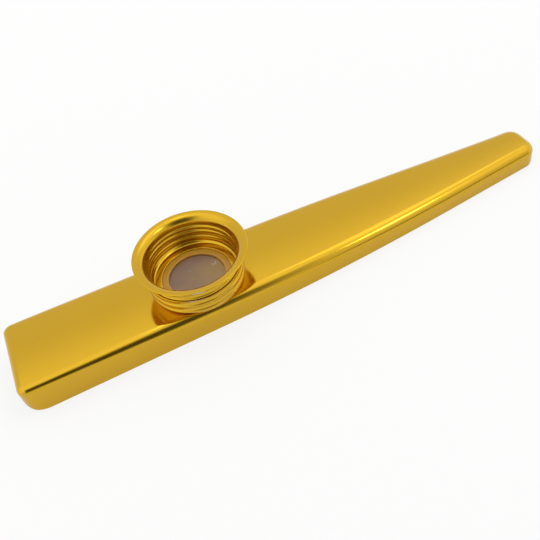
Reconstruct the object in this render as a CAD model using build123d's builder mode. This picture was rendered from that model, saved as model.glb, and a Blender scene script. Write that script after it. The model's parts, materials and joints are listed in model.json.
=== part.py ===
# A metal kazoo: two nested shells drawn from thin sheet make a tapered wind channel,
# a rolled-thread socket is eyeletted into the top, and a flared turret screws into it
# to hold down the membrane.
#
# X runs along the length from the mouth end (-X) to the outlet end (+X), Z is up and
# the bottom lies on Z = 0. The top slopes down from the mouth end and bends into a level
# part before the outlet. The upper shell is drawn square to that slope, and the socket, the
# membrane and the turret stand square on it. All sizes are in millimetres.

import os
from math import atan2, cos, radians, sin, tan

from build123d import *

# Body
length = 120.0  # along the top, mouth end to outlet end
mouth_width = 18.9
outlet_width = 8.7
mouth_height = 7.5  # heights are measured square to the slope
outlet_height = 4.7
parallel_length = 40.0  # from the mouth end the sides run parallel for this far
flank_length = 25.0  # up to the outlet end the sides run straight for this far
level_length = 30.0  # up to the outlet end the top runs level for this far
level_ease = 1.0  # before and after that point the slope bends into the level part
shell_sheet = 0.6  # thickness of the drawn sheet
edge_round = 1.7  # outside round between the top and the walls
corner_ease = 0.5  # how much more the upright corners are rounded than the top edges
lip_straight = 0.3  # straight part of the turned-down end lips, below the round
mouth_toe_share = 0.75  # lower wall corners: round, as a share of the straight wall's height
outlet_toe_share = 0.9
nest_clearance = 0.05  # between the upper shell's walls and the lower shell's flanges
tray_setback = 0.3  # lower shell's ends inside the upper shell's lips
flange_share = 0.6  # lower shell's flanges, as a share of the straight wall's height
bend_round = 0.9  # outside round along the lower shell's bottom bend

# Socket, an eyelet of thin sheet with a rolled thread
turret_from_mouth = 40.1  # axis of the socket, measured along the slope
socket_overhang = 0.15  # thread crests stand this far outside the body's sides
socket_sheet = 0.3
socket_corner = 0.9  # outside round between its floor and its wall
swage_width = 0.75  # the spigot's lower end, turned out under the top sheet
swage_margin = 0.6  # from the swaged edge to the round inside the upper shell
spigot_clearance = 0.05
thread_pitch = 1.6
thread_turns = 2  # of the socket's wall, above its corner
thread_depth = 0.3

# Membrane
film_sheet = 0.08
film_inset = 0.4  # film's edge inside the ring's edge
ring_height = 0.6
ring_slack = 0.6  # ring's edge inside the socket's wall
ring_reveal = 1.3  # ring's inner edge inside the turret's hole

# Turret
rim_overhang = 2.0  # rim's edge outside the socket's thread crests
rim_stand = 3.9  # rim above the socket's top
rim_dish = 5.0  # degrees by which the rim rises outwards
turret_sheet = 0.3
turret_corner = 0.8  # outside round between its flange and its wall
flare_round = 1.8  # under the rim
neck_ease = 0.35  # neck under the flare, outside the thread's crests
flange_width = 1.2  # bottom flange that presses on the ring
turret_turns = 1  # ridges of its wall; the thread itself isn't cut
thread_clearance = 0.1  # between the turret's crests and the socket's bore
seat_clearance = 0.02  # under and over the membrane

# Bends of the turned pieces are drawn in a few chords
fold_chords = 1
flare_chords = 3

overrun = 5.0  # how far cutting shapes run past what they cut

# Worked out from the sizes above
slope = atan2(mouth_height - outlet_height, length - level_length)
corner_round = edge_round + corner_ease
lip_drop = edge_round + lip_straight
mouth_x = -length / 2
outlet_x = length / 2
level_x = outlet_x - level_length
outlet_rise = level_length * tan(slope)  # of the level part, above the slope carried on
outlet_bottom = outlet_height - outlet_rise  # below the slope carried on
ends = ((mouth_x, mouth_width, 0), (outlet_x, outlet_width, outlet_rise))
parallel_x = mouth_x + parallel_length
flank_x = outlet_x - flank_length
knee_x = (parallel_x + flank_x) / 2
taper = (mouth_width - outlet_width) / 2 / (outlet_x - knee_x)
mouth_wall = mouth_height - edge_round
outlet_wall = outlet_height - edge_round
mouth_toe = mouth_wall * mouth_toe_share
outlet_toe = outlet_wall * outlet_toe_share

socket_radius = mouth_width / 2 + socket_overhang
socket_bore = socket_radius - thread_depth - socket_sheet
swage_radius = mouth_width / 2 - edge_round - swage_margin
spigot_radius = swage_radius - swage_width
spigot_bore = spigot_radius - socket_sheet
socket_height = socket_corner + thread_turns * thread_pitch
film_z = socket_sheet + seat_clearance
ring_z = film_z + film_sheet
flange_z = ring_z + ring_height + seat_clearance
turret_crest = socket_bore - thread_clearance
turret_valley = turret_crest - thread_depth
turret_bore = turret_valley - turret_sheet
flange_hole = turret_bore - flange_width
ring_bore = flange_hole - ring_reveal
ring_radius = socket_bore - ring_slack
film_radius = ring_radius - film_inset
rim_radius = socket_radius + rim_overhang
rim_height = socket_height + rim_stand

# Planes: the slope, with the box of the whole body centred on the origin, the same
# seen from the side, and the turret's own frame with its Z along the screw axis
centre_x = sin(slope) * (mouth_height - mouth_toe + edge_round - outlet_rise) / 2
centre_z = cos(slope) * (mouth_height + outlet_bottom) / 2
top_plane = Plane(
    origin=(centre_x, 0, centre_z),
    x_dir=(cos(slope), 0, -sin(slope)),
    z_dir=(sin(slope), 0, cos(slope)),
)
side_plane = Plane(
    origin=top_plane.origin, x_dir=top_plane.x_dir, z_dir=-top_plane.y_dir
)
turret_plane = Plane(
    origin=top_plane.from_local_coords((mouth_x + turret_from_mouth, 0, 0)),
    x_dir=top_plane.x_dir,
    z_dir=top_plane.z_dir,
)
turret_profile = Plane(
    origin=turret_plane.origin, x_dir=side_plane.x_dir, z_dir=side_plane.z_dir
)
turret_axis = Axis(turret_plane.origin, turret_plane.z_dir)


def plan_outline(plane, side_inset, end_inset):
    """Outline seen from above: parallel sides that curve into a straight taper."""
    mouth_half = mouth_width / 2 - side_inset
    outlet_half = outlet_width / 2 - side_inset
    start = (mouth_x + end_inset, mouth_half)
    curve_start = (parallel_x, mouth_half)
    curve_end = (flank_x, outlet_half + taper * flank_length)
    finish = (outlet_x - end_inset, outlet_half + taper * end_inset)
    with BuildSketch(plane, mode=Mode.PRIVATE) as plan:
        with BuildLine():
            Polyline((start[0], 0), start, curve_start)
            TangentArc(curve_start, curve_end, tangent=(1, 0))
            Polyline(curve_end, finish, (finish[0], 0))
            mirror(about=Plane.XZ)
        make_face()
        columns = plan.vertices().group_by(Axis.X)
        fillet(columns[0] + columns[-1], corner_round - side_inset)
    return plan.sketch


def side_outline():
    """Outline seen from the side, with the lower corners of both ends rounded off."""
    with BuildSketch(side_plane, mode=Mode.PRIVATE) as side:
        with BuildLine():
            Polyline(
                (mouth_x, overrun),
                (mouth_x, -mouth_height),
                (outlet_x, -outlet_bottom),
                (outlet_x, overrun),
                close=True,
            )
        make_face()
        corners = side.vertices().sort_by(Axis.Y)
        fillet(corners[0], mouth_toe)
        fillet(corners[1], outlet_toe)
    return side.sketch


def under_top(inset):
    """Everything below the top, seen from the side: the slope and the level part."""
    with BuildSketch(side_plane, mode=Mode.PRIVATE) as side:
        with BuildLine():
            Polyline(
                (mouth_x, -inset),
                (level_x, -inset),
                (outlet_x, outlet_rise - inset),
                (outlet_x, -mouth_height - overrun),
                (mouth_x, -mouth_height - overrun),
                close=True,
            )
        make_face()
        knee = side.vertices().sort_by_distance((level_x, -inset))[0]
        fillet(knee, level_ease / tan(slope / 2))
    return side.sketch


def drawn_block(inset):
    """The upper shell as a solid block, rounded over its top, smaller by an inset."""
    with BuildPart(mode=Mode.PRIVATE) as block:
        extrude(plan_outline(top_plane, inset, inset), amount=mouth_height + overrun, both=True)
        extrude(under_top(inset), amount=mouth_width, both=True, mode=Mode.INTERSECT)
        tops = block.faces().filter_by(lambda face: face.normal_at().Z > cos(2 * slope))
        seams = tops.edges().filter_by(Axis.Y).sort_by(Axis.X)[1:-1]
        fillet([edge for edge in tops.edges() if edge not in seams], edge_round - inset)
    return block.part


def tray_plan(inset):
    """Outline of the lower shell at a height above the bottom, smaller by the same."""
    side_inset = shell_sheet + nest_clearance + inset
    return plan_outline(Plane.XY.offset(inset), side_inset, side_inset + tray_setback)


def end_opening(body_plane, end_x, width, level):
    """Opening between the corner curls of one end, down from a level of a plane."""
    plane = Plane(
        origin=body_plane.from_local_coords((end_x, 0, 0)),
        x_dir=body_plane.y_dir,
        z_dir=body_plane.x_dir,
    )
    depth = mouth_height + overrun
    with BuildSketch(plane, mode=Mode.PRIVATE) as opening:
        with Locations((0, level - depth / 2)):
            Rectangle(width - 2 * corner_round, depth)
    return opening.sketch


def rolled_wall(radius, swing, start_z, half_turns):
    """Crests and valleys of a rolled wall by turns, half a pitch apart, after the first."""
    return [
        (radius + swing * (step % 2), start_z + step * thread_pitch / 2)
        for step in range(1, half_turns + 1)
    ]


def bend(centre_r, centre_z, radius, start, end, chords):
    """Points round a bend of the sheet, by angle from the radius direction in degrees."""
    turns = [radians(start + (end - start) * step / chords) for step in range(chords + 1)]
    return [(centre_r + radius * cos(turn), centre_z + radius * sin(turn)) for turn in turns]


# Upper shell: a drawn tray turned over, its ends trimmed open to curled lips
with BuildPart() as upper_shell:
    add(drawn_block(0))
    add(drawn_block(shell_sheet), mode=Mode.SUBTRACT)
    for end_x, width, rise in ends:
        opening = end_opening(top_plane, end_x, width, rise - lip_drop)
        extrude(opening, amount=corner_round, both=True, mode=Mode.SUBTRACT)
    extrude(side_outline(), amount=mouth_width, both=True, mode=Mode.INTERSECT)
    with BuildSketch(turret_plane):
        Circle(spigot_radius + spigot_clearance)
    extrude(amount=shell_sheet + overrun, both=True, mode=Mode.SUBTRACT)

# Lower shell: a shallow tray whose flanges nest inside the upper shell's walls
with BuildPart() as lower_shell:
    extrude(tray_plan(0), amount=mouth_height)
    fillet(lower_shell.faces().sort_by(Axis.Z)[0].edges(), bend_round)
    extrude(tray_plan(shell_sheet), amount=mouth_height, mode=Mode.SUBTRACT)
    flange_drop = atan2((mouth_wall - outlet_wall) * flange_share, length)
    flange_plane = Plane(
        origin=(mouth_x, 0, mouth_wall * flange_share),
        x_dir=(cos(flange_drop), 0, -sin(flange_drop)),
        z_dir=(sin(flange_drop), 0, cos(flange_drop)),
    )
    split(bisect_by=flange_plane, keep=Keep.BOTTOM)
    for end_x, width, _ in ends:
        opening = end_opening(Plane.XY, end_x, width, mouth_height + overrun + shell_sheet)
        extrude(opening, amount=corner_round, both=True, mode=Mode.SUBTRACT)
    extrude(side_outline(), amount=mouth_width, both=True, mode=Mode.INTERSECT)

# Socket: one sheet that runs from the swaged edge under the top, up through the hole,
# out along the floor and up the threaded wall
floor_end = socket_radius - socket_corner
swage_under = -shell_sheet - socket_sheet
corner_inside = socket_corner - socket_sheet
wall_inside = socket_radius - socket_sheet
half_turns = 2 * thread_turns
outside = [
    (swage_radius, swage_under),
    (swage_radius, -shell_sheet),
    (spigot_radius, -shell_sheet),
    (spigot_radius, 0),
    *bend(floor_end, socket_corner, socket_corner, -90, 0, fold_chords),
    *rolled_wall(socket_radius, -thread_depth, socket_corner, half_turns),
]
inside = [
    (spigot_bore, swage_under),
    (spigot_bore, socket_sheet),
    *bend(floor_end, socket_corner, corner_inside, -90, 0, fold_chords),
    *rolled_wall(wall_inside, -thread_depth, socket_corner, half_turns),
]
with BuildPart() as socket:
    with BuildSketch(turret_profile):
        with BuildLine():
            Polyline(*outside, *reversed(inside), close=True)
        make_face()
    revolve(axis=turret_axis)

# Membrane: a thin film under a flat plastic ring, lying on the socket's floor
with BuildPart() as membrane_film:
    with BuildSketch(turret_plane.offset(film_z)):
        Circle(film_radius)
    extrude(amount=film_sheet)

with BuildPart() as membrane_ring:
    with BuildSketch(turret_plane.offset(ring_z)):
        Circle(ring_radius)
        Circle(ring_bore, mode=Mode.SUBTRACT)
    extrude(amount=ring_height)

# Turret: a flange that presses on the ring, a ridged wall and a flared, dished rim
dish = radians(rim_dish)
flare_r = turret_crest + neck_ease + flare_round
edge_r = rim_radius - turret_sheet / 2 * sin(dish)
edge_z = rim_height - turret_sheet / 2 * cos(dish)
flare_z = edge_z - (edge_r - flare_r) * tan(dish) - (flare_round + turret_sheet / 2) / cos(dish)
corner_end = turret_valley - turret_corner
corner_z = flange_z + turret_corner
half_turns = 2 * turret_turns - 1
outside = [
    (flange_hole, flange_z),
    *bend(corner_end, corner_z, turret_corner, -90, 0, fold_chords),
    *rolled_wall(turret_valley, thread_depth, corner_z, half_turns),
    *bend(flare_r, flare_z, flare_round, 180, 90 + rim_dish, flare_chords),
    (rim_radius, edge_z - turret_sheet / 2 * cos(dish)),
]
inside = [
    (flange_hole, flange_z + turret_sheet),
    *bend(corner_end, corner_z, turret_corner - turret_sheet, -90, 0, fold_chords),
    *rolled_wall(turret_bore, thread_depth, corner_z, half_turns),
    *bend(flare_r, flare_z, flare_round + turret_sheet, 180, 90 + rim_dish, flare_chords),
    (edge_r - turret_sheet / 2 * sin(dish), rim_height),
]
with BuildPart() as turret:
    with BuildSketch(turret_profile):
        with BuildLine():
            Polyline(*outside, *reversed(inside), close=True)
        make_face()
    revolve(axis=turret_axis)

upper_shell.part.label = "upper_shell"
lower_shell.part.label = "lower_shell"
socket.part.label = "socket"
membrane_film.part.label = "membrane_film"
membrane_ring.part.label = "membrane_ring"
turret.part.label = "turret"

os.makedirs("parts", exist_ok=True)
export_step(upper_shell.part, "parts/upper_shell.step")
export_step(lower_shell.part, "parts/lower_shell.step")
export_step(socket.part, "parts/socket.step")
export_step(membrane_film.part, "parts/membrane_film.step")
export_step(membrane_ring.part, "parts/membrane_ring.step")
export_step(turret.part, "parts/turret.step")
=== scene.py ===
"""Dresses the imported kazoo: smooth polished shells, a rolled screw thread and a membrane.

Laid out as a Blender add-on and run as a script. Sizes are in metres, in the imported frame.
"""

import json
from math import atan2, cos, pi, radians, sin, sqrt, tan

import bpy
import numpy as np
from bpy.props import FloatProperty, FloatVectorProperty, PointerProperty
from mathutils import Matrix, Vector


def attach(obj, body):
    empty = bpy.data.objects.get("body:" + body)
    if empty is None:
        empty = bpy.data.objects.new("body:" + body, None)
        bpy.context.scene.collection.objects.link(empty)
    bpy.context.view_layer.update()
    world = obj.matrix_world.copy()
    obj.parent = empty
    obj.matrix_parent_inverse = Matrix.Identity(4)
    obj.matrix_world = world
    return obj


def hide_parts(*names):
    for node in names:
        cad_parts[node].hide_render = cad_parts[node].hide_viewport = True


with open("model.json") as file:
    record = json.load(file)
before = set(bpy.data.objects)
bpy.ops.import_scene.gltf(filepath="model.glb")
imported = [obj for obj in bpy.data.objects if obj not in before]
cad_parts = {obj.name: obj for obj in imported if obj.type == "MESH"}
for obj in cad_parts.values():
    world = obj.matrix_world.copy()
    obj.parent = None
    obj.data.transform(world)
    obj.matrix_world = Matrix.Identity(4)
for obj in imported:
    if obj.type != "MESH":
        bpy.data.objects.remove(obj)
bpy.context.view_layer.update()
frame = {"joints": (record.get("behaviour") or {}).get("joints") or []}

bl_info = {
    "name": "Metal kazoo",
    "version": (1, 0, 0),
    "blender": (4, 5, 0),
    "location": "3D View > Sidebar > Kazoo",
    "description": "Builds the visible pieces of a screw-top metal kazoo and its stage",
    "category": "Object",
}

SCREW = frame["joints"][0]  # the turret's hinge
MM = 0.001
SAME_POINT = 0.0001 * MM  # points that round to the same multiple of this are one
SHARP = radians(32)  # edges that bend by more than this stay sharp
STRIP = 0.06 * MM  # narrow flat strip beside a round, which keeps its shading off the flat
HAIR = 0.05 * MM  # between the rows where two runs of a turned profile meet
FRONT = radians(-106)  # the camera's side of the turret, about the screw's axis


def linear(code):
    """Turns an sRGB hex colour into linear red, green and blue."""
    srgb = np.array([int(code[k : k + 2], 16) for k in (1, 3, 5)]) / 255
    low = srgb / 12.92
    high = ((srgb + 0.055) / 1.055) ** 2.4
    return tuple(np.where(srgb <= 0.04045, low, high).tolist())


def size(name, description, default):
    """A length property whose default is given in millimetres."""
    return FloatProperty(
        name=name, description=description, default=default * MM, unit="LENGTH", precision=5
    )


def tint(name, description, code):
    """A colour property whose default is given as an sRGB hex value."""
    return FloatVectorProperty(
        name=name, description=description, default=linear(code), subtype="COLOR", min=0, max=1
    )


def amount(name, description, default):
    """A plain number that is never negative."""
    return FloatProperty(name=name, description=description, default=default, min=0)


def angle_size(name, description, degrees):
    """An angle property whose default is given in degrees."""
    return FloatProperty(
        name=name, description=description, default=radians(degrees), subtype="ANGLE"
    )


def direction(name, description, azimuth, elevation):
    """Where something stands, seen from the object: turn from the front and height, in degrees."""
    return FloatVectorProperty(
        name=name, description=description, size=2, unit="ROTATION",
        default=(radians(azimuth), radians(elevation)),
    )


def extent(name, description, width, height):
    """A width and a height in millimetres."""
    return FloatVectorProperty(
        name=name, description=description, size=2, unit="LENGTH",
        default=(width * MM, height * MM),
    )


class ShellSizes(bpy.types.PropertyGroup):
    """Sizes of the two drawn shells"""

    length: size("Length", "Along the top, mouth end to outlet end", 120)
    mouth_width: size("Mouth width", "Across the parallel part", 18.9)
    outlet_width: size("Outlet width", "Across the outlet end", 8.7)
    mouth_height: size("Mouth height", "Square to the slope, at the mouth end", 7.5)
    outlet_height: size("Outlet height", "Square to the slope, at the outlet end", 4.7)
    parallel_length: size("Parallel length", "Where the sides run parallel", 40)
    flank_length: size("Flank length", "Where the sides run straight to the outlet", 25)
    level_length: size("Level length", "Where the top runs level to the outlet", 30)
    level_ease: size("Level ease", "Before and after that, the slope eases into it", 14)
    sheet: size("Sheet", "Thickness of the drawn sheet", 0.6)
    edge_round: size("Edge round", "Round between the top and the side walls", 2.2)
    mouth_round: size("Mouth round", "Round between the top and the lip, mouth end", 1.5)
    outlet_round: size("Outlet round", "Round between the top and the lip, outlet end", 2.0)
    mouth_run: size("Mouth run", "Over which the mouth round grows into the edge round", 35)
    outlet_run: size("Outlet run", "Over which the outlet round grows into it", 7)
    mouth_corner: size("Mouth corner", "Round of the upright corners, mouth end", 2.0)
    outlet_corner: size("Outlet corner", "Round of the upright corners, outlet end", 3.0)
    lip_drop: size("Lip drop", "How far the end lips turn down", 2.3)
    mouth_toe: size("Mouth toe", "Round of the lower wall corners, mouth end", 4.35)
    outlet_toe: size("Outlet toe", "Round of the lower wall corners, outlet end", 2.7)
    crown: angle_size("Crown", "Tilt of the slightly domed top at its edges", 4)
    turret_from_mouth: size("Turret from mouth", "Along the top, to the screw's axis", 40.1)
    hole: size("Hole", "Radius of the hole under the socket", 6.45)
    nest: size("Nest", "Clearance between the shells", 0.05)
    setback: size("Setback", "Lower shell's ends inside the lips", 0.3)
    mouth_flange: size("Mouth flange", "Height of the lower shell's flange, mouth end", 3.48)
    outlet_flange: size("Outlet flange", "The same at the outlet end", 1.8)
    bend_round: size("Bend round", "Round along the lower shell's bottom", 0.9)


class TurretSizes(bpy.types.PropertyGroup):
    """Sizes of the socket and the turret that screws into it"""

    sheet: size("Sheet", "Thickness of both pieces", 0.3)
    socket_radius: size("Socket radius", "To the thread's outer crests", 9.9)
    socket_height: size("Socket height", "Above the top of the body", 4.1)
    socket_corner: size("Socket corner", "Round between its floor and its wall", 0.9)
    spigot: size("Spigot", "Radius of the part in the hole", 6.4)
    swage: size("Swage", "Radius of the edge turned out under the top", 7.15)
    pitch: size("Pitch", "Rise of the thread in one turn", 1.6)
    depth: size("Depth", "Height of the rolled ridges", 0.3)
    front_crest: size("Front crest", "Height of the lowest ridge at the front", 0.93)
    play: size("Play", "Clearance between the two threads", 0.06)
    seat: size("Seat", "Underside of the turret's flange", 1.02)
    turret_corner: size("Turret corner", "Round between its flange and its wall", 0.8)
    flange_hole: size("Flange hole", "Radius of the hole in the flange", 7.1)
    neck: size("Neck", "Outer radius below the flare", 9.55)
    flare_round: size("Flare round", "Round under the rim", 1.5)
    rim_radius: size("Rim radius", "To the rim's edge", 11.6)
    rim_height: size("Rim height", "To the rim's edge, above the body's top", 8.0)
    rim_dish: angle_size("Rim dish", "By how much the rim rises outwards", 5)


class MembraneSizes(bpy.types.PropertyGroup):
    """Sizes of the plastic ring and its film"""

    film_seat: size("Film seat", "Underside of the film", 0.32)
    film_sheet: size("Film sheet", "Drawn thickness of the film", 0.08)
    film_radius: size("Film radius", "To the film's edge", 8.0)
    film_sag: size("Film sag", "How far the free film hangs at its middle", 0.12)
    crease: size("Crease", "Height of the small fold mark", 0.07)
    ring_bore: size("Ring bore", "Inner radius of the ring", 5.8)
    ring_radius: size("Ring radius", "Outer radius of the ring", 8.4)
    ring_height: size("Ring height", "Thickness of the ring", 0.6)
    ring_round: size("Ring round", "Round of the ring's edges", 0.2)


class Finishes(bpy.types.PropertyGroup):
    """Colours of the real finishes, and of the glow painted on the film"""

    gold: tint("Gold", "Gold anodised aluminium", "#D2A71A")
    deep_gold: tint("Deep gold", "The same where the dye is stronger", "#CFA216")
    bare_edge: tint("Bare edge", "Aluminium where the sheet was trimmed", "#D8D2C8")
    ring: tint("Ring", "Clear plastic, slightly yellowed", "#FFC344")
    film: tint("Film", "Thin smoky film", "#A48570")
    # painted glow: the film's colour where gold light is painted on, not a colour of its own
    film_painted_glow: tint("Film, warm", "The film where gold shines through", "#BE9C62")
    floor: tint("Floor", "Paper sweep", "#F2F2F0")


class StageSizes(bpy.types.PropertyGroup):
    """Camera and light"""

    lens: FloatProperty(
        name="Lens", description="Focal length on a 36 mm sensor", default=47.05, unit="CAMERA"
    )
    distance: size("Distance", "From the camera to the point it looks at", 142.455)
    azimuth: angle_size("Azimuth", "Camera's turn about the upright of the sloping top", -15.475)
    elevation: angle_size("Elevation", "Camera's height over the sloping top", 46.803)
    roll: angle_size("Roll", "Camera's tilt about its own line of sight", 12.004)
    aim: extent("Aim", "Point that the camera looks at, along and across the top", -6.303, -5.987)
    floor_radius: size("Floor radius", "Size of the paper sweep", 1500)
    floor_seen: amount("Floor seen", "Share of plain white where the camera sees the sweep", 0.8)
    floor_mirrored: amount("Floor mirrored", "The same where the object mirrors it", 0.45)
    tent_light: amount("Tent light", "Radiance of the light tent", 0.9)
    tent_front: amount("Tent front", "Its radiance high up in front", 1.3)
    tent_sides: amount("Tent sides", "Radiance added at its two sides", 0.25)
    window_at: direction("Window at", "Direction of the window light", 58, 57)
    window_extent: extent("Window extent", "Size of the window light", 110, 60)
    window_light: amount("Window light", "Radiance of the window light", 5.0)
    rear_at: direction("Rear at", "Direction of the rear panel", 126, 60)
    rear_extent: extent("Rear extent", "Size of the rear panel", 220, 200)
    rear_light: amount("Rear light", "Radiance of the rear panel", 0.4)
    overhead_at: direction("Overhead at", "Direction of the overhead lamp", 170, 78)
    overhead_extent: extent("Overhead extent", "Size of the overhead lamp", 60, 60)
    overhead_light: amount("Overhead light", "Radiance of the overhead lamp", 2.0)
    dark_card_at: direction("Dark card at", "Direction of the dark card", -10, 48)
    dark_card_extent: extent("Dark card extent", "Size of the dark card", 680, 880)
    dark_card: tint("Dark card", "Colour of the dark card", "#5C5C5C")
    dark_card_edge: amount("Dark card edge", "Share of the dark card that fades out", 0.75)
    pale_card_at: direction("Pale card at", "Direction of the pale card", 34, 7)
    pale_card_extent: extent("Pale card extent", "Size of the pale card", 420, 170)
    pale_card: tint("Pale card", "Colour of the pale card", "#A6A6A6")
    pale_card_edge: amount("Pale card edge", "Share of the pale card that fades out", 0.8)
    lamp_distance: size("Lamp distance", "From the object to the lamps", 600)
    card_distance: size("Card distance", "From the object to the cards", 500)


# The sloping top and the screw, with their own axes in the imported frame
def top_slope(shell):
    """Tangent of the slope, and the height of the outlet below the slope carried on."""
    fall = (shell.mouth_height - shell.outlet_height) / (shell.length - shell.level_length)
    return fall, shell.mouth_height - shell.length * fall


def top_frame(shell):
    """Origin and axes of the slope: X along it, Z square to it, through the screw's foot."""
    slope = atan2(top_slope(shell)[0], 1)
    axes = np.array([[cos(slope), 0, -sin(slope)], [0, 1, 0], [sin(slope), 0, cos(slope)]])
    along = shell.turret_from_mouth - shell.length / 2
    return np.array(SCREW["pos_m"]) - along * axes[0], axes


def top_level(shell, x):
    """Height of the top over the slope's plane: none, then a parabola, then a straight rise
    that keeps level with the bottom."""
    reach = shell.level_ease
    past = x - shell.length / 2 + shell.level_length
    bend = (np.clip(past, -reach, reach) + reach) ** 2 / (4 * reach)
    return top_slope(shell)[0] * (bend + np.maximum(past - reach, 0))


def screw_frame():
    """Origin and axes of the screw: Z along the hinge's axis, X towards the outlet."""
    up = np.array(SCREW["axis"], float)
    up /= np.linalg.norm(up)
    axes = np.array([[up[2], 0, -up[0]], [0, 1, 0], up])
    return np.array(SCREW["pos_m"], float), axes


# Meshes from arrays
def grid_quads(rows, columns, wrap_rows=False, wrap_columns=False):
    """Quads of a grid whose points are numbered row by row, wrapped round where asked."""
    i, j = np.meshgrid(
        np.arange(rows if wrap_rows else rows - 1),
        np.arange(columns if wrap_columns else columns - 1),
        indexing="ij",
    )
    down, right = (i + 1) % rows, (j + 1) % columns
    corners = [i * columns + j, i * columns + right, down * columns + right, down * columns + j]
    return np.stack(corners, -1).reshape(-1, 4)


def weld(patches):
    """Joins patches of points, normals and quads where their points coincide."""
    starts = np.cumsum([0] + [patch[0].size // 3 for patch in patches])
    points = np.concatenate([patch[0].reshape(-1, 3) for patch in patches])
    normals = np.concatenate([patch[1].reshape(-1, 3) for patch in patches])
    quads = np.concatenate([patch[2] + start for patch, start in zip(patches, starts)])
    _, first, index = np.unique(
        np.round(points / SAME_POINT).astype(np.int64), axis=0,
        return_index=True, return_inverse=True,
    )
    quads = index.reshape(-1)[quads]
    ordered = np.sort(quads, axis=1)
    corners = 1 + (np.diff(ordered, axis=1) > 0).sum(axis=1)
    return points[first], normals[first], quads[corners > 2]


def thicken(points, normals, quads, sheet):
    """Closes a skin into a sheet: the same skin a thickness behind it, turned over, and a
    quad across each edge that only one face uses."""
    edges = np.stack([quads, np.roll(quads, -1, axis=1)], -1).reshape(-1, 2)
    edges = edges[edges[:, 0] != edges[:, 1]]
    _, index, count = np.unique(
        np.sort(edges, axis=1), axis=0, return_inverse=True, return_counts=True
    )
    a, b = edges[count[index.reshape(-1)] == 1].T
    behind = len(points)
    rim = np.stack([b, a, a + behind, b + behind], -1)
    both = np.concatenate([points, points - sheet * normals])
    return both, np.concatenate([quads, quads[:, ::-1] + behind, rim])


def outward(points, faces):
    """Turns all faces over if the closed mesh has a negative volume."""
    a, b, c, d = (points[faces[:, k]] for k in range(4))
    volume = np.einsum("ij,ij->i", a, np.cross(b, c) + np.cross(c, d)).sum()
    return faces if volume > 0 else faces[:, ::-1]


def ease(low, high, value):
    """Smooth step from 0 at low to 1 at high."""
    share = np.clip((value - low) / (high - low), 0, 1)
    return share * share * (3 - 2 * share)


def new_piece(name, points, faces, materials, slots=None, layout=None):
    """Makes the object from quads, which are triangles where two neighbouring corners are the
    same point: smooth faces, sharp edges past an angle, and a UV map if given."""
    corners = faces != np.roll(faces, -1, axis=1)
    sides = corners.sum(axis=1)
    mesh = bpy.data.meshes.new(name)
    mesh.vertices.add(len(points))
    mesh.vertices.foreach_set("co", points.astype(np.float32).reshape(-1))
    mesh.loops.add(int(sides.sum()))
    mesh.loops.foreach_set("vertex_index", faces[corners].astype(np.int32))
    mesh.polygons.add(len(faces))
    mesh.polygons.foreach_set("loop_start", (np.cumsum(sides) - sides).astype(np.int32))
    mesh.update(calc_edges=True)
    for material in materials:
        mesh.materials.append(material)
    if slots is not None:
        mesh.polygons.foreach_set("material_index", slots.astype(np.int32))
    if layout is not None:
        uv = mesh.uv_layers.new(name="unrolled")
        uv.data.foreach_set("uv", layout.astype(np.float32).reshape(-1))
    mesh.shade_smooth()
    mesh.set_sharp_from_angle(angle=SHARP)
    if mesh.validate(verbose=False):
        raise RuntimeError(f"{name}: the mesh has faces that Blender had to mend")
    piece = bpy.data.objects.new(name, mesh)
    bpy.context.scene.collection.objects.link(piece)
    return piece


def settle(piece, body, node):
    """The piece moves with a body, and the imported part of that node is hidden."""
    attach(piece, body)
    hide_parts(node)


# Materials
def node(tree, kind, inputs=None, **settings):
    """Adds a node with its settings; each input gets a value, or a link from a socket or from
    a node's first output."""
    made = tree.nodes.new(f"ShaderNode{kind}")
    for key, value in settings.items():
        setattr(made, key, value)
    for key, value in (inputs or {}).items():
        if isinstance(value, bpy.types.Node):
            value = value.outputs[0]
        if isinstance(value, bpy.types.NodeSocket):
            tree.links.new(value, made.inputs[key])
        else:
            made.inputs[key].default_value = value
    return made


def new_material(name):
    """An empty node material and its tree."""
    material = bpy.data.materials.new(name)
    material.use_nodes = True
    material.node_tree.nodes.clear()
    return material, material.node_tree


def rgba(colour):
    """A linear colour with full alpha."""
    return (*colour[:3], 1.0)


def anodise(tree, finish, clouds, detail, rough, relief):
    """Gold anodising: clouds of dye of a given size between two golds, on metal of a given
    roughness and relief, under the clear sealed coat."""
    place = node(tree, "TexCoord").outputs["Object"]
    dye = node(tree, "TexNoise", {"Vector": place, "Scale": 1 / clouds, "Detail": detail})
    colour = node(
        tree, "Mix",
        {"Factor": dye, "A": rgba(finish.gold), "B": rgba(finish.deep_gold)},
        data_type="RGBA",
    )
    return node(
        tree, "BsdfPrincipled",
        {"Base Color": colour.outputs["Result"], "Metallic": 1.0, "Roughness": rough,
         "Normal": relief, "Coat Weight": 0.4, "Coat Roughness": 0.03,
         "Coat IOR": 1.5},
    )


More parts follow.
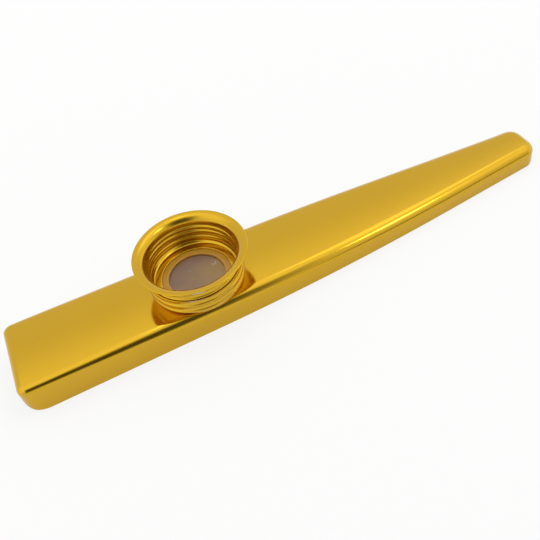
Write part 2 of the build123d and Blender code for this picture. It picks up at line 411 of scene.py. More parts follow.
def drawn_gold(finish):
    """Aluminium sheet, deep drawn, bright dipped and gold anodised: a clear mirror, with
    faint lines along the draw, a slow ripple left by the die and slightly uneven dye."""
    material, tree = new_material("gold_anodised_drawn_aluminium")
    place = node(tree, "TexCoord").outputs["Object"]
    # lines along the length, 0.25 mm apart and 20 mm long, coarser than real ones so they show
    along = node(
        tree, "Mapping", {"Vector": place, "Scale": (1 / 0.02, 1 / 0.00025, 1 / 0.00025)}
    )
    lines = node(tree, "TexNoise", {"Vector": along, "Scale": 1.0, "Detail": 2.0})
    # ripple of the die, 9 mm across
    ripple = node(tree, "TexNoise", {"Vector": place, "Scale": 1 / 0.009, "Detail": 1.0})
    rough = node(
        tree, "MapRange",
        {"Value": lines, "From Min": 0.3, "From Max": 0.7, "To Min": 0.09,
         "To Max": 0.15},
    )
    waves = node(tree, "Bump", {"Height": ripple, "Strength": 0.25, "Distance": 0.00008})
    fine = node(
        tree, "Bump", {"Height": lines, "Normal": waves, "Strength": 0.06, "Distance": 0.00001}
    )
    # clouds of dye 14 mm across
    shader = anodise(tree, finish, 0.014, 3.0, rough, fine)
    node(tree, "OutputMaterial", {"Surface": shader})
    return material


def spun_gold(finish):
    """Aluminium sheet, spun and thread rolled, then gold anodised: a softer mirror than the
    body, with fine rings round the axis."""
    material, tree = new_material("gold_anodised_spun_aluminium")
    unrolled = node(tree, "TexCoord").outputs["UV"]
    # rings 0.12 mm apart that run a third of the way round, coarser than real ones
    round_axis = node(
        tree, "Mapping", {"Vector": unrolled, "Scale": (1 / 0.02, 1 / 0.00012, 1.0)}
    )
    rings = node(tree, "TexNoise", {"Vector": round_axis, "Scale": 1.0, "Detail": 2.0})
    rough = node(
        tree, "MapRange",
        {"Value": rings, "From Min": 0.3, "From Max": 0.7, "To Min": 0.16,
         "To Max": 0.26},
    )
    fine = node(tree, "Bump", {"Height": rings, "Strength": 0.12, "Distance": 0.00001})
    # clouds of dye 6 mm across
    shader = anodise(tree, finish, 0.006, 2.0, rough, fine)
    node(tree, "OutputMaterial", {"Surface": shader})
    return material


def trimmed_edge(finish):
    """Trimmed edge of the anodised sheet: gold, rubbed through to silvery metal in places,
    with short scratches."""
    material, tree = new_material("rubbed_trimmed_aluminium")
    place = node(tree, "TexCoord").outputs["Object"]
    # rubbed patches, 5 mm long
    wear = node(tree, "TexNoise", {"Vector": place, "Scale": 1 / 0.005, "Detail": 1.0})
    bare = node(tree, "MapRange", {"Value": wear, "From Min": 0.58, "From Max": 0.66})
    colour = node(
        tree, "Mix",
        {"Factor": bare, "A": rgba(finish.gold), "B": rgba(finish.bare_edge)},
        data_type="RGBA",
    )
    # scratches 0.1 mm apart
    scratches = node(tree, "TexNoise", {"Vector": place, "Scale": 1 / 0.0001})
    rough = node(tree, "MapRange", {"Value": scratches, "To Min": 0.12, "To Max": 0.3})
    shader = node(
        tree, "BsdfPrincipled",
        {"Base Color": colour.outputs["Result"], "Metallic": 1.0, "Roughness": rough},
    )
    node(tree, "OutputMaterial", {"Surface": shader})
    return material


def clear_ring_plastic(finish):
    """Clear moulded plastic: see-through, warm from age, with a soft satin face."""
    material, tree = new_material("clear_moulded_plastic")
    place = node(tree, "TexCoord").outputs["Object"]
    # flow marks of the mould, 2 mm across
    flow = node(tree, "TexNoise", {"Vector": place, "Scale": 1 / 0.002, "Detail": 2.0})
    rough = node(tree, "MapRange", {"Value": flow, "To Min": 0.12, "To Max": 0.3})
    shader = node(
        tree, "BsdfPrincipled",
        {"Base Color": rgba(finish.ring), "Roughness": rough, "IOR": 1.49,
         "Transmission Weight": 0.5},
    )
    node(tree, "OutputMaterial", {"Surface": shader})
    return material


def smoky_film(finish):
    """Thin blown film: smoky, lets some light through, with dust specks on it."""
    material, tree = new_material("thin_smoky_film")
    place = node(tree, "TexCoord").outputs["Object"]
    # clouds 5 mm across
    clouds = node(tree, "TexNoise", {"Vector": place, "Scale": 1 / 0.005, "Detail": 3.0})
    # painted glow: gold light painted onto the film towards the front and the outlet, over 10 mm,
    # from near the middle, on top of the random clouds
    middle, _ = screw_frame()
    way = np.array([0.6, -0.8, 0]) / 0.01
    lean = node(
        tree, "VectorMath", {0: place, 1: way.tolist()}, operation="DOT_PRODUCT"
    ).outputs["Value"]
    painted_glow_ramp = node(tree, "Math", {0: lean, 1: 0.1 - float(middle @ way)}, operation="ADD")
    clouds_and_painted_glow_ramp = node(tree, "Math", {0: clouds, 1: painted_glow_ramp}, operation="ADD")
    clouds_and_painted_glow = node(
        tree, "MapRange", {"Value": clouds_and_painted_glow_ramp, "From Min": 0.2, "From Max": 1.0},
        interpolation_type="SMOOTHSTEP",
    )
    # the film's own colour, turning to the painted gold glow where the clouds and the ramp are
    # high
    colour = node(
        tree, "Mix",
        {"Factor": clouds_and_painted_glow, "A": rgba(finish.film), "B": rgba(finish.film_painted_glow)},
        data_type="RGBA",
    )
    # dust, about one speck to 2 mm
    cells = node(tree, "TexVoronoi", {"Vector": place, "Scale": 1 / 0.0021})
    dust = node(
        tree, "MapRange",
        {"Value": cells.outputs["Distance"], "From Min": 0.045, "From Max": 0.03},
    )
    # painted highlight along the fold mark, read from the point layer, which pales the film there
    # like the dust
    fold = node(tree, "Attribute", attribute_name="fold").outputs["Fac"]
    dust_and_painted_highlight = node(tree, "Math", {0: dust, 1: fold}, operation="MAXIMUM")
    dusted_and_highlit = node(
        tree, "Mix",
        {"Factor": dust_and_painted_highlight, "A": colour.outputs["Result"], "B": rgba(finish.floor)},
        data_type="RGBA",
    )
    shader = node(
        tree, "BsdfPrincipled",
        {"Base Color": dusted_and_highlit.outputs["Result"], "Roughness": 0.28, "IOR": 1.45,
         "Transmission Weight": 0.3},
    )
    node(tree, "OutputMaterial", {"Surface": shader})
    return material


# Outlines of the shells, in their own plan
def half_width(shell, x):
    """Half the plan's width at x: level, then a parabola, then a straight taper."""
    start = -shell.length / 2 + shell.parallel_length
    end = shell.length / 2 - shell.flank_length
    knee = (start + end) / 2
    taper = (shell.mouth_width - shell.outlet_width) / 2 / (shell.length / 2 - knee)
    bend = np.clip(x, start, end) - start
    fall = taper * bend**2 / (2 * (end - start)) + taper * np.maximum(x - end, 0)
    return shell.mouth_width / 2 - fall, taper * bend / (end - start)


def half_outline(shell, inset, end_inset, columns):
    """One side of the plan, from the mouth end's middle to the outlet end's: straight end,
    round corner, side, round corner, straight end. Columns are the points on a corner, on the
    side and on an end. Gives points, outward normals and the numbers of the first and last
    point of the walled part."""
    ends = shell.length / 2 - end_inset
    near, far = shell.mouth_corner - inset, shell.outlet_corner - inset
    mouth = shell.mouth_width / 2 - inset - near
    slant = half_width(shell, np.array([ends]))[1][0]
    centre = ends - far
    outlet = half_width(shell, np.array([centre]))[0][0] - inset - far * sqrt(1 + slant**2)
    lean = atan2(-1, slant)
    turn = np.linspace(-pi, -pi / 2, columns[0])[1:]
    back_turn = np.linspace(lean, 0, columns[0])
    side_x = np.linspace(-ends + near, centre + far * cos(lean), columns[1])[1:-1]
    side, fall = half_width(shell, side_x)
    long = np.sqrt(1 + fall**2)
    lip = np.linspace(0, 1, columns[2])
    zero = np.zeros_like(lip)
    x = [
        zero - ends,
        -ends + near + near * np.cos(turn),
        side_x,
        centre + far * np.cos(back_turn),
        zero[1:] + ends,
    ]
    y = [
        -lip * mouth,
        -mouth + near * np.sin(turn),
        inset - side,
        -outlet + far * np.sin(back_turn),
        -(1 - lip[1:]) * outlet,
    ]
    nx = [zero - 1, np.cos(turn), fall / long, np.cos(back_turn), zero[1:] + 1]
    ny = [zero, np.sin(turn), -1 / long, np.sin(back_turn), zero[1:]]
    points = np.stack([np.concatenate(x), np.concatenate(y)], -1)
    normals = np.stack([np.concatenate(nx), np.concatenate(ny)], -1)
    return points, normals, (columns[2] - 1, len(points) - columns[2])


def mirrored(points, normals):
    """The other side of the plan, run the other way, without the two shared points."""
    flip = np.array([1, -1])
    return (points * flip)[-2:0:-1], (normals * flip)[-2:0:-1]


def toe_rise(shell, x):
    """How far the rounded lower corners lift the wall's edge: a circle at each end."""
    ends = shell.length / 2
    rise = np.zeros_like(x)
    for radius, gap in ((shell.mouth_toe, x + ends), (shell.outlet_toe, ends - x)):
        reach = np.clip(radius - gap, 0, radius)
        rise = rise + radius - np.sqrt(np.maximum(radius**2 - reach**2, 0))
    return rise


def dome(shell, flat):
    """How far the top falls away from its ridge: a parabola across the local width, carried
    on as a straight line past the start of the edge round."""
    half = half_width(shell, flat[..., 0])[0] - shell.edge_round
    aside = np.abs(flat[..., 1])
    inside = np.minimum(aside, half)
    return tan(shell.crown) * (inside**2 / (2 * half) + aside - inside)


def spatial(flat, level):
    """Plan points with a level each, as points in space."""
    return np.concatenate([flat, np.broadcast_to(level, flat.shape[:-1])[..., None]], -1)


class KAZOO_OT_upper_shell(bpy.types.Operator):
    """Drawn upper shell: flat top with the socket's hole, rounded edges, walls and lips"""

    bl_idname = "kazoo.upper_shell"
    bl_label = "Upper shell"

    def execute(self, context):
        shell = context.scene.kazoo_shell
        side, side_normal, (first, last) = half_outline(shell, 0, 0, (15, 160, 14))
        far, far_normal = mirrored(side, side_normal)
        flat = np.concatenate([side, far])
        normal = np.concatenate([side_normal, far_normal])
        # Edge round: each end's own, which grows into the sides' round over a run
        from_end = shell.length / 2 - np.abs(flat[:, 0])
        mouth = flat[:, 0] < 0
        end = np.where(mouth, shell.mouth_round, shell.outlet_round)
        swell = ease(0, np.where(mouth, shell.mouth_run, shell.outlet_run), from_end)
        edge = end + (shell.edge_round - end) * swell
        reach = edge[:, None]
        up = np.array([0, 0, 1.0])

        # Top: rings from the hole to the start of the round, closer near the hole, slightly
        # domed across
        origin, axes = top_frame(shell)
        hole_at = ((np.array(SCREW["pos_m"]) - origin) @ axes.T)[:2]
        inner = flat - reach * normal
        support = flat - (reach + STRIP) * normal
        spoke = inner - hole_at
        hole = hole_at + shell.hole * spoke / np.linalg.norm(spoke, axis=1)[:, None]
        share = np.linspace(0, 1, 36)[:, None, None] ** 1.3
        rings = np.concatenate([hole + (support - hole) * share, inner[None]])
        rings = spatial(rings, top_level(shell, rings[..., 0]) - dome(shell, rings))
        top = (rings, np.broadcast_to(up, rings.shape))

        # Round and lip: a quarter circle about the edge, then straight down
        turn = np.linspace(0, pi / 2, 19)[:, None, None]
        bend = flat - reach * (1 - np.sin(turn)) * normal
        fade = np.cos(turn[..., 0]) ** 2
        drop = edge * (1 - np.cos(turn[..., 0])) + fade * dome(shell, bend)
        bend = spatial(bend, top_level(shell, bend[..., 0]) - drop)
        bend_normal = spatial(np.sin(turn) * normal, np.cos(turn[..., 0]))
        drops = np.stack([edge + STRIP, 0 * edge + shell.lip_drop])
        lip = spatial(np.stack([flat, flat]), top_level(shell, flat[:, 0]) - drops)
        lip_normal = spatial(np.stack([normal, normal]), 0 * drops)
        collar = (np.concatenate([bend, lip]), np.concatenate([bend_normal, lip_normal]))
        patches = [
            (points, normals, grid_quads(len(points), len(flat), wrap_columns=True))
            for points, normals in (top, collar)
        ]

        # Walls: straight down from the lip to the bottom, less the rounded toes
        rows = 7
        for sign in (1, -1):
            run = side[first : last + 1] * (1, sign)
            out = side_normal[first : last + 1] * (1, sign)
            share = (run[:, 0] + shell.length / 2) / shell.length
            low = shell.mouth_height + (top_slope(shell)[1] - shell.mouth_height) * share
            low = toe_rise(shell, run[:, 0]) - low
            high = top_level(shell, run[:, 0]) - shell.lip_drop
            level = high + (low - high) * np.linspace(0, 1, rows)[:, None]
            points = spatial(np.broadcast_to(run, (rows, *run.shape)), level)
            normals = spatial(np.broadcast_to(out, (rows, *out.shape)), 0 * level)
            patches.append((points, normals, grid_quads(rows, len(run))[:, ::sign]))
        points, normals, quads = weld(patches)
        points, faces = thicken(points, normals, quads, shell.sheet)
        points = origin + points @ axes
        gold = drawn_gold(context.scene.kazoo_finish)
        piece = new_piece("upper_shell_drawn", points, outward(points, faces), [gold])
        settle(piece, "body", "upper_shell")
        return {"FINISHED"}


class KAZOO_OT_lower_shell(bpy.types.Operator):
    """Drawn lower shell: flat bottom, rounded bend and flanges that nest in the walls"""

    bl_idname = "kazoo.lower_shell"
    bl_label = "Lower shell"

    def execute(self, context):
        shell = context.scene.kazoo_shell
        bend = shell.bend_round
        inset = shell.sheet + shell.nest
        side, normal, (first, last) = half_outline(
            shell, inset, inset + shell.setback, (13, 160, 3)
        )
        run, out = side[first : last + 1], normal[first : last + 1]
        quarter = bend * pi / 2
        rise = toe_rise(shell, run[:, 0])
        # Each column starts where the toe cuts it and ends at the sloping flange edge
        start = np.where(
            rise < bend, bend * np.arccos(np.clip(1 - rise / bend, -1, 1)), quarter + rise - bend
        )
        share = (run[:, 0] + shell.length / 2) / shell.length
        flange = shell.mouth_flange + (shell.outlet_flange - shell.mouth_flange) * share
        shortest = 0.2 * MM
        end = np.maximum(quarter + flange - bend, start + shortest)
        knee = np.maximum(start, quarter)
        # Rows on the bend, then rows on the flat flange
        soft = np.linspace(0, 1, 11)[:, None]
        hard = np.array([0.02, 0.5, 1])[:, None]
        length = np.concatenate([start + (knee - start) * soft, knee + (end - knee) * hard])
        turn = np.minimum(length, quarter) / bend
        level = bend * (1 - np.cos(turn)) + np.maximum(length - quarter, 0)
        flat = run - bend * (1 - np.sin(turn))[..., None] * out
        quads = grid_quads(len(length), len(run))
        patches = []
        for sign in (1, -1):
            points = spatial(flat * (1, sign), level)
            normals = spatial(np.sin(turn)[..., None] * out * (1, sign), -np.cos(turn))
            patches.append((points, normals, quads[:, ::-sign]))
        # Bottom: straight across between the two bends where no toe cuts it
        level_run = (run - bend * out)[rise <= 0]
        across = np.array([1, 0.99, 0, -0.99, -1])[:, None, None]
        points = spatial(level_run * np.concatenate([across**0, across], -1), 0.0)
        normals = np.broadcast_to(np.array([0, 0, -1.0]), points.shape)
        patches.append((points, normals, grid_quads(len(points), len(level_run))))
        points, normals, quads = weld(patches)
        points, faces = thicken(points, normals, quads, shell.sheet)
        gold = drawn_gold(context.scene.kazoo_finish)
        piece = new_piece("lower_shell_drawn", points, outward(points, faces), [gold])
        settle(piece, "body", "lower_shell")
        return {"FINISHED"}


# Turned pieces
def arc(centre, radius, start, end, steps):
    """Points of a circular arc in radius and height, by angle in degrees."""
    turn = np.radians(np.linspace(start, end, steps))
    return np.stack([centre[0] + radius * np.cos(turn), centre[1] + radius * np.sin(turn)], -1)


def straight(start, end, steps):
    """Points of a straight run in radius and height."""
    start, end = np.asarray(start), np.asarray(end)
    return start + np.linspace(0, 1, steps)[:, None] * (end - start)


def ridge(turret, angle, height):
    """Rolled right-hand thread: a cosine squared in height, so that the ridges are narrower
    than the valleys, which climbs one pitch in a turn."""
    phase = 2 * pi * (height - turret.front_crest) / turret.pitch - (angle - FRONT)
    return ((1 + np.cos(phase)) / 2) ** 2


def lathe(profile, weight, turret, columns):
    """A closed profile carried round the screw axis. The radius gains the thread's depth
    times its ridge times the weight given for each point. UV is the unrolled surface."""
    origin, axes = screw_frame()
    angle = np.arange(columns)[:, None] * 2 * pi / columns
    height = profile[None, :, 1]
    radius = profile[None, :, 0] + weight * turret.depth * ridge(turret, angle, height)
    x, y = radius * np.cos(angle), radius * np.sin(angle)
    local = np.stack(np.broadcast_arrays(x, y, height), -1)
    quads = grid_quads(columns, len(profile), wrap_rows=True, wrap_columns=True)
    step = np.linalg.norm(np.roll(profile, -1, axis=0) - profile, axis=1)
    along = np.concatenate([[0], np.cumsum(step)])
    i, j = np.divmod(np.arange(len(quads)), len(profile))
    wide = 2 * pi * profile[:, 0].max() / columns
    corners = ((0, 0), (0, 1), (1, 1), (1, 0))
    layout = np.stack([np.stack([(i + a) * wide, along[j + b]], -1) for a, b in corners], 1)
    points = origin + local.reshape(-1, 3) @ axes
    turned = outward(points, quads)
    if turned is not quads:
        layout = layout[:, ::-1]
    return points, turned, layout


def spun_piece(name, profile, rolled, worn, scene):
    """A spun piece: its profile carried round the axis with a rolled thread, in gold, with
    the trimmed edge's finish from one of two numbered points of the profile to the other."""
    points, faces, layout = lathe(profile, rolled, scene.kazoo_turret, 256)
    column = np.arange(len(faces)) % len(profile)
    slots = (column >= worn[0]) & (column < worn[1])
    golds = [spun_gold(scene.kazoo_finish), trimmed_edge(scene.kazoo_finish)]
    return new_piece(name, points, faces, golds, slots, layout)


class KAZOO_OT_socket(bpy.types.Operator):
    """Socket: an eyelet of thin sheet with a helical rolled thread"""

    bl_idname = "kazoo.socket"
    bl_label = "Socket"

    def execute(self, context):
        turret = context.scene.kazoo_turret
        body_sheet = context.scene.kazoo_shell.sheet
        sheet, corner, spigot = turret.sheet, turret.socket_corner, turret.spigot
        wall, bore = turret.socket_radius, spigot - sheet
        floor_end = wall - corner
        top = turret.socket_height - sheet / 2
        under = -body_sheet - sheet / 2
        bottom = under - sheet / 2
        # Ends of the straight runs: the wall, the floor, the bore and the swage
        foot, head = corner + HAIR, top - 0.02 * MM
        floor_from, floor_to = spigot + 0.2 * MM, floor_end - 0.2 * MM
        lead = 0.1 * MM
        edge_points = 9
        parts = [
            arc((turret.swage - sheet / 2, under), sheet / 2, -90, 90, 7),
            straight((spigot, -body_sheet), (spigot, 0), 3),
            straight((floor_from, 0), (floor_to, 0), 3),
            arc((floor_end, corner), corner, -90, 0, 14),
            straight((wall, foot), (wall, head), 60),
            arc((wall - sheet / 2, top), sheet / 2, 0, 180, edge_points),
            straight((wall - sheet, head), (wall - sheet, foot), 60),
            arc((floor_end, corner), corner - sheet, 0, -90, 9),
            straight((floor_to, sheet), (spigot + lead, sheet), 3),
            arc((spigot, 0), sheet, 90, 180, 9),
            straight((bore, -lead), (bore, -body_sheet + lead), 3),
            arc((spigot, -body_sheet), sheet, 180, 270, 9),
            straight((spigot + lead, bottom), (turret.swage - sheet, bottom), 3),
        ]
        profile = np.concatenate(parts)
        # The thread fades in over the corner
        rolled = ease(0.25 * MM, corner, profile[:, 1]) * (profile[:, 0] > floor_end)
        profile = profile - np.stack([rolled * turret.depth, 0 * rolled], -1)
        edge_from = sum(len(part) for part in parts[:5])
        worn = (edge_from, edge_from + edge_points - 1)
        piece = spun_piece("socket_rolled", profile, rolled, worn, context.scene)
        settle(piece, "body", "socket")
        return {"FINISHED"}


class KAZOO_OT_turret(bpy.types.Operator):
    """Turret: flange, helical rolled wall, flare and dished rim with a rounded edge"""

    bl_idname = "kazoo.turret"
    bl_label = "Turret"

    def execute(self, context):
        turret = context.scene.kazoo_turret
        sheet, seat, hole = turret.sheet, turret.seat, turret.flange_hole
        dish = turret.rim_dish
        tilt = np.degrees(dish)
        wall = turret.socket_radius - sheet - turret.play - turret.depth
        corner = turret.turret_corner
        corner_r, corner_z = wall - corner, seat + corner
        flare = turret.flare_round
        flare_r = turret.neck + flare
        edge_r = turret.rim_radius - sheet / 2
        edge_z = turret.rim_height - sheet / 2
        flare_z = edge_z - (edge_r - flare_r) * tan(dish)
        flare_z -= (flare + sheet / 2) / cos(dish)
        step = HAIR * np.array([cos(dish), sin(dish)])
        under = arc((flare_r, flare_z), flare, 180, 90 + tilt, 20)
        over = arc((flare_r, flare_z), flare + sheet, 90 + tilt, 180, 24)
        lip = arc((edge_r, edge_z), sheet / 2, tilt - 90, tilt + 90, 11)
        # Ends of the straight runs: the wall and the flange
        foot, head = corner_z + HAIR, flare_z - 0.03 * MM
        flange_from, flange_to = hole + 0.3 * MM, corner_r - HAIR
        hem = (hole + sheet / 2, seat + sheet / 2)
        parts = [
            arc(hem, sheet / 2, 180, 270, 6),
            straight((flange_from, seat), (flange_to, seat), 3),
            arc((corner_r, corner_z), corner, -90, 0, 12),
            straight((wall, foot), (wall, head), 70),
            under,
            straight(under[-1] + step, lip[0] - step, 3),
            lip,
            straight(lip[-1] - step, over[0] + step, 3),
            over,
            straight((wall - sheet, head), (wall - sheet, foot), 70),
            arc((corner_r, corner_z), corner - sheet, 0, -90, 8),
            straight((flange_to, seat + sheet), (flange_from, seat + sheet), 3),
            arc(hem, sheet / 2, 90, 170, 6),
        ]
        profile = np.concatenate(parts)
        height = profile[:, 1]
        outer = profile[:, 0] > corner_r
        # The thread fades in over the corner and out below the flare
        fade = 0.3 * MM
        rolled_end = flare_z - fade
        rolled = ease(seat + fade, corner_z + fade, height)
        rolled = rolled * (1 - ease(rolled_end - fade, rolled_end + fade, height)) * outer
        # Above the thread the wall comes out to the neck
        neck = ease(rolled_end - 0.4 * MM, flare_z, height) * (turret.neck - wall)
        profile[:, 0] += np.where(outer & (height < flare_z), neck, 0)
        # The lip is rubbed where it faces outwards
        lip_from = sum(len(part) for part in parts[:6])
        worn = (lip_from + 2, lip_from + 7)
        piece = spun_piece("turret_rolled", profile, rolled, worn, context.scene)
        settle(piece, "turret", "turret")
        return {"FINISHED"}


class KAZOO_OT_membrane_ring(bpy.types.Operator):
    """Clear plastic ring that carries the film: a rectangle with round corners, turned"""

    bl_idname = "kazoo.membrane_ring"
    bl_label = "Membrane ring"

    def execute(self, context):
        sizes = context.scene.kazoo_membrane
        low = sizes.film_seat + sizes.film_sheet
        high = low + sizes.ring_height
        edge = sizes.ring_round
        inner, outer = sizes.ring_bore + edge, sizes.ring_radius - edge
        profile = np.concatenate([
            arc((outer, low + edge), edge, -90, 0, 7),
            arc((outer, high - edge), edge, 0, 90, 7),
            arc((inner, high - edge), edge, 90, 180, 7),
            arc((inner, low + edge), edge, 180, 270, 7),
        ])
        points, faces, layout = lathe(profile, 0, context.scene.kazoo_turret, 192)
        plastic = clear_ring_plastic(context.scene.kazoo_finish)
        piece = new_piece("membrane_ring_moulded", points, faces, [plastic], None, layout)
        settle(piece, "membrane", "membrane_ring")
        return {"FINISHED"}


class KAZOO_OT_membrane_film(bpy.types.Operator):
    """Thin film: a disc of rings and spokes that sags a little and carries a fold mark"""

    bl_idname = "kazoo.membrane_film"
    bl_label = "Membrane film"

    def execute(self, context):
        sizes = context.scene.kazoo_membrane
        origin, axes = screw_frame()
        spokes, rings = 300, 90
        angle = np.arange(spokes)[None, :] * 2 * pi / spokes
        radius = np.linspace(0, sizes.film_radius, rings)[1:, None]
        x, y = radius * np.cos(angle), radius * np.sin(angle)
        # Sag: a smooth bowl inside the ring, with a slight ripple of three winding waves
        free = 1 - np.clip(radius / sizes.ring_bore, 0, 1) ** 2
        ripple = 0.02 * MM
        slack = -sizes.film_sag * free**2 + ripple * free * np.sin(3 * angle + 900 * radius)
        # Fold mark: a narrow bump along half a small circle
        mark_x, mark_y, curl, narrow = 4.3 * MM, 1.8 * MM, 0.45 * MM, 0.1 * MM
        from_mark = np.hypot(x - mark_x, y - mark_y)
        open_side = ease(-0.3, 0.3, (x - mark_x) / curl * 0.4 + (mark_y - y) / curl + 0.4)
        fold = np.exp(-(((from_mark - curl) / narrow) ** 2)) * open_side
        slack = slack + sizes.crease * fold
        low = sizes.film_seat + slack
        bottom = np.stack(np.broadcast_arrays(x, y, low), -1).reshape(-1, 3)
        lift = np.array([0, 0, sizes.film_sheet])
        hub = np.array([[0, 0, sizes.film_seat - sizes.film_sag]])
        points = np.concatenate([bottom, bottom + lift, hub, hub + lift])
        # Faces: both skins, the edge between them, and a fan about each hub
        count = len(bottom)
        quads = grid_quads(rings - 1, spokes, wrap_columns=True)
        first = np.arange(spokes)
        first_next = (first + 1) % spokes
        rim, rim_next = (rings - 2) * spokes + first, (rings - 2) * spokes + first_next
        hub_at = np.full(spokes, 2 * count)
        faces = np.concatenate([
            quads,
            quads[:, ::-1] + count,
            np.stack([rim, rim_next, rim_next + count, rim + count], -1),
            np.stack([hub_at, hub_at, first_next, first], -1)[:, ::-1],
            np.stack([hub_at + 1, hub_at + 1, first + count, first_next + count], -1)[:, ::-1],
        ])
        points = origin + points @ axes
        film = smoky_film(context.scene.kazoo_finish)
        piece = new_piece("membrane_film_blown", points, outward(points, faces), [film])
        # The material reads the painted highlight along the fold mark at each point
        painted_highlight = 0.6
        painted_highlight_layer = piece.data.attributes.new("fold", "FLOAT", "POINT")
        highlight_mask = np.concatenate([fold.reshape(-1), fold.reshape(-1), [0, 0]])
        painted_highlight_layer.data.foreach_set("value", painted_highlight * highlight_mask.astype(np.float32))
        settle(piece, "membrane", "membrane_film")
        return {"FINISHED"}


class KAZOO_OT_stage(bpy.types.Operator):
    """Paper sweep, light tent and camera"""

    bl_idname = "kazoo.stage"
    bl_label = "Stage"

    def execute(self, context):
        scene = context.scene
        stage = scene.kazoo_stage
        finish = scene.kazoo_finish
        self.floor(scene, stage, finish)
        self.tent(scene, stage)
        for name, at, span, light in (
            ("window_light", stage.window_at, stage.window_extent, stage.window_light),
            ("rear_panel", stage.rear_at, stage.rear_extent, stage.rear_light),
            ("overhead_lamp", stage.overhead_at, stage.overhead_extent, stage.overhead_light),
        ):
            self.put(scene, self.lamp(name, span, light), at, stage.lamp_distance)
        for name, at, span, colour, edge in (
            ("dark_card", stage.dark_card_at, stage.dark_card_extent, stage.dark_card,
             stage.dark_card_edge),
            ("pale_card", stage.pale_card_at, stage.pale_card_extent, stage.pale_card,
             stage.pale_card_edge),
        ):
            card = self.card(name, span, colour, edge)
            self.put(scene, card, at, stage.card_distance)
        self.camera(scene, stage)
        scene.view_settings.view_transform = "Standard"
        return {"FINISHED"}

    def floor(self, scene, stage, finish):
        """A round sheet of paper just under the object. A share of plain white is added to its
        own shading, more for the eye than for the metal and plastic that mirror it."""
        sides, gap = 64, 0.02 * MM
        angle = np.linspace(0, 2 * pi, sides + 1)[:-1]
        ring = stage.floor_radius * np.stack([np.cos(angle), np.sin(angle), 0 * angle], -1)
        mesh = bpy.data.meshes.new("paper_sweep")
        mesh.from_pydata((ring - (0, 0, gap)).tolist(), [], [list(range(sides))])
        material, tree = new_material("matt_white_paper")
        paper = node(tree, "BsdfDiffuse", {"Color": rgba(finish.floor)})
        white = node(tree, "Emission", {"Color": (1, 1, 1, 1), "Strength": 1.0})
        path = node(tree, "LightPath")
        mirrored_ray = node(
            tree, "Math",
            {0: path.outputs["Is Glossy Ray"], 1: path.outputs["Is Transmission Ray"]},
            operation="MAXIMUM",
        )
        mirrored_share = node(
            tree, "Math", {0: mirrored_ray, 1: stage.floor_mirrored}, operation="MULTIPLY"
        )
        seen_share = node(
            tree, "Math", {0: path.outputs["Is Camera Ray"], 1: stage.floor_seen},
            operation="MULTIPLY",
        )
        share = node(tree, "Math", {0: seen_share, 1: mirrored_share}, operation="MAXIMUM")
        mixed = node(tree, "MixShader", {0: share, 1: paper, 2: white})
        node(tree, "OutputMaterial", {"Surface": mixed})
        mesh.materials.append(material)
        floor = bpy.data.objects.new("paper_sweep", mesh)
        scene.collection.objects.link(floor)

    def tent(self, scene, stage):
        """A white light tent, brighter high up in front and at both sides. The eye sees plain
        white."""
        world = bpy.data.worlds.new("light_tent")
        world.use_nodes = True
        scene.world = world
        tree = world.node_tree
        tree.nodes.clear()
        way = node(tree, "TexCoord").outputs["Generated"]
        lean = node(
            tree, "VectorMath", {0: way, 1: (0.04, -0.71, 0.71)}, operation="DOT_PRODUCT"
        ).outputs["Value"]
        forward = node(
            tree, "MapRange", {"Value": lean, "From Min": -0.05, "From Max": 0.35},
            interpolation_type="SMOOTHSTEP",
        )
        aside, _, height = node(tree, "SeparateXYZ", {0: way}).outputs
        high = node(
            tree, "MapRange", {"Value": height, "From Min": 0.45, "From Max": 0.8},
            interpolation_type="SMOOTHSTEP",
        )
        both = node(tree, "Math", {0: forward, 1: high}, operation="MULTIPLY")
        overhead = node(
            tree, "MapRange",
            {"Value": both, "To Min": stage.tent_light, "To Max": stage.tent_front},
        )
        width = node(tree, "Math", {0: aside}, operation="ABSOLUTE")
        panels = node(
            tree, "MapRange",
            {"Value": width, "From Min": 0.65, "From Max": 0.95, "To Max": stage.tent_sides},
            interpolation_type="SMOOTHSTEP",
        )
        total = node(tree, "Math", {0: overhead, 1: panels}, operation="ADD")
        light = node(tree, "Background", {"Color": (1, 1, 1, 1), "Strength": total})
        plain = node(tree, "Background", {"Color": (1, 1, 1, 1), "Strength": 1.0})
        seen = node(tree, "LightPath").outputs["Is Camera Ray"]
        mixed = node(tree, "MixShader", {0: seen, 1: light, 2: plain})
        node(tree, "OutputWorld", {"Surface": mixed})

    def put(self, scene, item, at, far):
        """Stands an item at a direction and distance, facing the object, unseen by the eye."""
        turn, high = at
        out = Vector((sin(turn) * cos(high), -cos(turn) * cos(high), sin(high)))
        spin = out.to_track_quat("Z", "Y").to_matrix().to_4x4()
        item.matrix_world = Matrix.Translation(far * out) @ spin
        item.visible_camera = False
        scene.collection.objects.link(item)

    def lamp(self, name, span, radiance):
        """A soft panel of light; the power follows from its radiance and area."""
        data = bpy.data.lights.new(name, "AREA")
        data.shape = "RECTANGLE"
        data.size, data.size_y = span
        data.energy = radiance * 4 * span[0] * span[1]
        return bpy.data.objects.new(name, data)

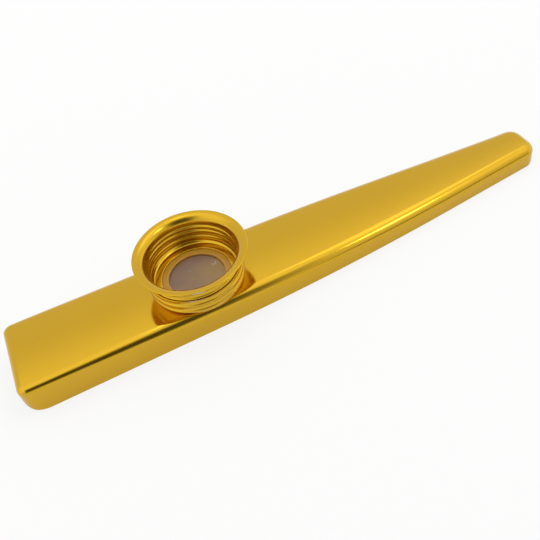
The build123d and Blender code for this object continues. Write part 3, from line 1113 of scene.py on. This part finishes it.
    def card(self, name, span, colour, edge):
        """A matt card that the metal mirrors. Towards its edges it thins out to gauze, so that
        its mirror image is soft."""
        x, y = span[0] / 2, span[1] / 2
        mesh = bpy.data.meshes.new(name)
        mesh.from_pydata([(-x, -y, 0), (x, -y, 0), (x, y, 0), (-x, y, 0)], [], [(0, 1, 2, 3)])
        material, tree = new_material(f"matt_{name}")
        place = node(tree, "TexCoord").outputs["Object"]
        parts = node(tree, "SeparateXYZ", {0: place}).outputs
        fades = []
        for key, reach in (("X", x), ("Y", y)):
            aside = node(tree, "Math", {0: parts[key]}, operation="ABSOLUTE")
            fade = node(
                tree, "MapRange",
                {"Value": aside, "From Min": reach, "From Max": (1 - edge) * reach},
                interpolation_type="SMOOTHSTEP",
            )
            fades.append(fade)
        cover = node(tree, "Math", {0: fades[0], 1: fades[1]}, operation="MULTIPLY")
        matt = node(tree, "BsdfDiffuse", {"Color": rgba(colour)})
        gauze = node(tree, "BsdfTransparent")
        mixed = node(tree, "MixShader", {0: cover, 1: gauze, 2: matt})
        node(tree, "OutputMaterial", {"Surface": mixed})
        mesh.materials.append(material)
        return bpy.data.objects.new(name, mesh)

    def camera(self, scene, stage):
        """A camera placed by turn, height and roll over the sloping top."""
        origin, axes = top_frame(scene.kazoo_shell)
        turn, high, roll = stage.azimuth, stage.elevation, stage.roll
        aim = np.array([*stage.aim, 0])
        back = np.array([sin(turn) * cos(high), -cos(turn) * cos(high), sin(high)])
        level = np.array([cos(turn), sin(turn), 0])
        upright = np.cross(back, level)
        right = cos(roll) * level - sin(roll) * upright
        up = sin(roll) * level + cos(roll) * upright
        place = origin + (aim + stage.distance * back) @ axes
        turned = np.stack([right @ axes, up @ axes, back @ axes], 1)
        data = bpy.data.cameras.new("camera")
        data.sensor_width = 36
        data.lens = stage.lens
        data.clip_start = 0.005
        camera = bpy.data.objects.new("camera", data)
        camera.matrix_world = Matrix.Translation(Vector(place)) @ Matrix(turned.tolist()).to_4x4()
        scene.collection.objects.link(camera)
        scene.camera = camera


class KAZOO_PT_panel(bpy.types.Panel):
    """Lists the pieces and their sizes"""

    bl_idname = "KAZOO_PT_panel"
    bl_label = "Kazoo"
    bl_space_type = "VIEW_3D"
    bl_region_type = "UI"
    bl_category = "Kazoo"

    def draw(self, context):
        for operator in OPERATORS:
            self.layout.operator(operator.bl_idname)
        for name in GROUPS:
            box = self.layout.box()
            group = getattr(context.scene, name)
            for key in group.bl_rna.properties.keys():
                if key not in ("rna_type", "name"):
                    box.prop(group, key)


OPERATORS = (
    KAZOO_OT_upper_shell,
    KAZOO_OT_lower_shell,
    KAZOO_OT_socket,
    KAZOO_OT_turret,
    KAZOO_OT_membrane_ring,
    KAZOO_OT_membrane_film,
    KAZOO_OT_stage,
)
GROUPS = {
    "kazoo_shell": ShellSizes,
    "kazoo_turret": TurretSizes,
    "kazoo_membrane": MembraneSizes,
    "kazoo_finish": Finishes,
    "kazoo_stage": StageSizes,
}


def register():
    """Registers the classes and puts the property groups on the scene."""
    for item in (*GROUPS.values(), *OPERATORS, KAZOO_PT_panel):
        bpy.utils.register_class(item)
    for name, group in GROUPS.items():
        setattr(bpy.types.Scene, name, PointerProperty(type=group))


def unregister():
    """Takes the property groups and the classes away again."""
    for name in GROUPS:
        delattr(bpy.types.Scene, name)
    for item in reversed((*GROUPS.values(), *OPERATORS, KAZOO_PT_panel)):
        bpy.utils.unregister_class(item)


def main():
    register()
    bpy.ops.kazoo.upper_shell()
    bpy.ops.kazoo.lower_shell()
    bpy.ops.kazoo.socket()
    bpy.ops.kazoo.turret()
    bpy.ops.kazoo.membrane_ring()
    bpy.ops.kazoo.membrane_film()
    bpy.ops.kazoo.stage()


if __name__ == "__main__":
    main()
